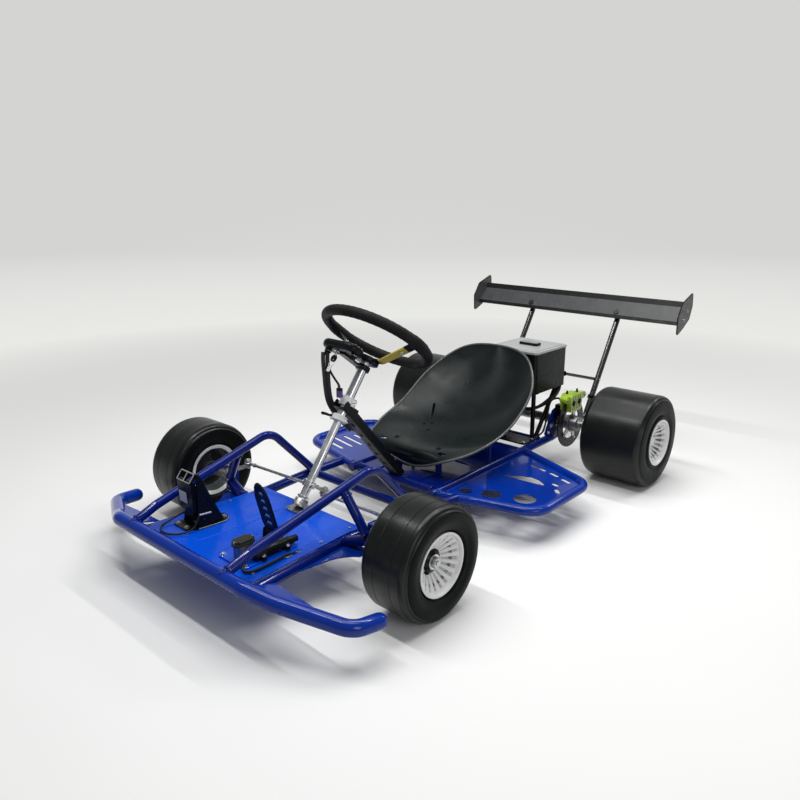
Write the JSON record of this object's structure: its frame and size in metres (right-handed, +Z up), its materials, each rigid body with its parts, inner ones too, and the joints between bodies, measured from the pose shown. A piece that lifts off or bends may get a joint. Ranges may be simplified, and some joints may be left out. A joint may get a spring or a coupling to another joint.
{
  "type": "electric go-kart",
  "caption": "Low open electric go-kart: welded tube frame with floor pan, slick tyres on ribbed rims, scoop seat, inclined telescopic steering column, battery box, chain drive and rear wing.",
  "frame": {"origin": "on the ground under the middle of the kart's bounding box", "axes": "+Z up, the kart faces -Y, +X is the driver's left"},
  "size_m": [0.968, 1.7125, 0.5963],
  "materials": {
    "blue_paint": "high gloss",
    "black_metal": "satin",
    "seat_black": "satin",
    "bright_steel": "bright machined",
    "gold_plate": "gold anodised",
    "rim_paint": "gloss white",
    "tyre_rubber": "matt slick rubber",
    "grip_foam": "soft matt foam",
    "lime_paint": "gloss lime",
    "wing_sheet": "dark satin",
    "cable_sheath": "matt",
    "black_plastic": "semi gloss"
  },
  "bodies": {
    "chassis": {"front_bumper": "blue_paint", "front_rail_left": "blue_paint", "front_rail_right": "blue_paint", "side_hoop_left": "blue_paint", "side_hoop_right": "blue_paint", "front_cross_tube": "blue_paint", "seat_cross_tube": "blue_paint", "rear_cross_tube": "blue_paint", "rear_rail_left": "blue_paint", "rear_rail_right": "blue_paint", "floor_pan": "blue_paint", "side_pod_left": "blue_paint", "side_pod_right": "blue_paint", "kingpin_bracket_left": "blue_paint", "kingpin_bracket_right": "blue_paint", "axle_hanger_left": "blue_paint", "axle_hanger_right": "blue_paint", "column_support": "black_metal", "motor": "black_metal", "drive_chain": "black_metal", "battery_box": "black_metal", "wing_strut_left": "black_metal", "wing_strut_right": "black_metal", "throttle_base": "black_metal", "floor_bearing": "bright_steel", "master_cylinder": "bright_steel", "battery_pack": "black_plastic", "harness": "cable_sheath", "brake_hose": "cable_sheath", "brake_caliper": "lime_paint", "wing_plane": "wing_sheet", "wing_endplate_left": "wing_sheet", "wing_endplate_right": "wing_sheet", "seat_shell": "seat_black"},
    "steering_column": {"steering_shaft": "bright_steel"},
    "steering_head": {"steering_tube": "bright_steel", "wheel_spokes": "gold_plate", "steering_wheel_grip": "grip_foam", "console": "black_plastic"},
    "clamp_lever": {"clamp_lever": "black_plastic"},
    "ignition_key": {"ignition_key": "black_plastic"},
    "tie_rod_left": {"tie_rod_left": "bright_steel"},
    "tie_rod_right": {"tie_rod_right": "bright_steel"},
    "spindle_left": {"spindle_left": "bright_steel"},
    "spindle_right": {"spindle_right": "bright_steel"},
    "front_wheel_left": {"front_rim_left": "rim_paint", "front_tyre_left": "tyre_rubber"},
    "front_wheel_right": {"front_rim_right": "rim_paint", "front_tyre_right": "tyre_rubber"},
    "rear_axle": {"rear_axle": "bright_steel", "brake_disc": "bright_steel", "sprocket": "bright_steel", "rear_rim_left": "rim_paint", "rear_rim_right": "rim_paint", "rear_tyre_left": "tyre_rubber", "rear_tyre_right": "tyre_rubber"},
    "motor_pinion": {"motor_pinion": "bright_steel"},
    "battery_lid": {"battery_lid": "black_plastic"},
    "brake_pedal": {"brake_pedal": "black_metal"},
    "throttle_pedal": {"throttle_pedal": "black_metal"}
  },
  "joints": [
    {"name": "steering_turn", "type": "hinge", "parent": "chassis", "child": "steering_column", "pos_m": [0, -0.4667, 0.16673], "axis": [0, 0.5948, 0.8039], "range_deg": [-30, 30], "deforming": ["harness"]},
    {"name": "column_reach", "type": "slide", "parent": "steering_column", "child": "steering_head", "axis": [0, 0.5948, 0.8039], "range_m": [-0.03, 0.005], "deforming": ["harness"]},
    {"name": "clamp_release", "type": "hinge", "parent": "steering_head", "child": "clamp_lever", "pos_m": [-0.028, -0.35992, 0.31102], "axis": [0, 0.5948, 0.8039], "range_deg": [0, 90]},
    {"name": "key_turn", "type": "hinge", "parent": "steering_head", "child": "ignition_key", "pos_m": [-0.008, -0.35392, 0.48372], "axis": [0, 0.5948, 0.8039], "range_deg": [0, 60]},
    {"name": "tie_rod_left_pivot", "type": "hinge", "parent": "steering_column", "child": "tie_rod_left", "pos_m": [0, -0.42191, 0.12638], "axis": [0, 0.5948, 0.8039], "range_deg": [-30, 30]},
    {"name": "tie_rod_right_pivot", "type": "hinge", "parent": "steering_column", "child": "tie_rod_right", "pos_m": [0, -0.41502, 0.1357], "axis": [0, 0.5948, 0.8039], "range_deg": [-30, 30]},
    {"name": "kingpin_left_steer", "type": "hinge", "parent": "chassis", "child": "spindle_left", "pos_m": [0.275, -0.50757, 0.127], "axis": [0, 0, 1], "range_deg": [-30, 30]},
    {"name": "kingpin_right_steer", "type": "hinge", "parent": "chassis", "child": "spindle_right", "pos_m": [-0.275, -0.50757, 0.127], "axis": [0, 0, 1], "range_deg": [-30, 30]},
    {"name": "front_wheel_left_spin", "type": "hinge", "parent": "spindle_left", "child": "front_wheel_left", "pos_m": [0.3995, -0.50757, 0.127], "axis": [1, 0, 0], "continuous": true},
    {"name": "front_wheel_right_spin", "type": "hinge", "parent": "spindle_right", "child": "front_wheel_right", "pos_m": [-0.3995, -0.50757, 0.127], "axis": [1, 0, 0], "continuous": true},
    {"name": "rear_axle_spin", "type": "hinge", "parent": "chassis", "child": "rear_axle", "pos_m": [0, 0.48942, 0.14], "axis": [1, 0, 0], "continuous": true},
    {"name": "motor_pinion_spin", "type": "hinge", "parent": "chassis", "child": "motor_pinion", "pos_m": [-0.177, 0.32243, 0.165], "axis": [1, 0, 0], "continuous": true},
    {"name": "brake_pedal_press", "type": "hinge", "parent": "chassis", "child": "brake_pedal", "pos_m": [0.08, -0.64558, 0.128], "axis": [1, 0, 0], "range_deg": [0, 20], "stiffness_Nm_per_rad": 7, "springref_deg": -2.86},
    {"name": "throttle_pedal_press", "type": "hinge", "parent": "chassis", "child": "throttle_pedal", "pos_m": [-0.1197, -0.71357, 0.128], "axis": [1, 0, 0], "range_deg": [0, 22], "stiffness_Nm_per_rad": 2.5, "springref_deg": -4.58},
    {"name": "battery_lid_lift", "type": "slide", "parent": "chassis", "child": "battery_lid", "axis": [0, 0, 1], "range_m": [0, 0.12]}
  ],
  "couplings": [
    {"joint": "kingpin_left_steer", "follows": "steering_turn", "ratio": 1},
    {"joint": "kingpin_right_steer", "follows": "steering_turn", "ratio": 1},
    {"joint": "tie_rod_left_pivot", "follows": "steering_turn", "ratio": -1},
    {"joint": "tie_rod_right_pivot", "follows": "steering_turn", "ratio": -1},
    {"joint": "motor_pinion_spin", "follows": "rear_axle_spin", "ratio": 3.96}
  ]
}
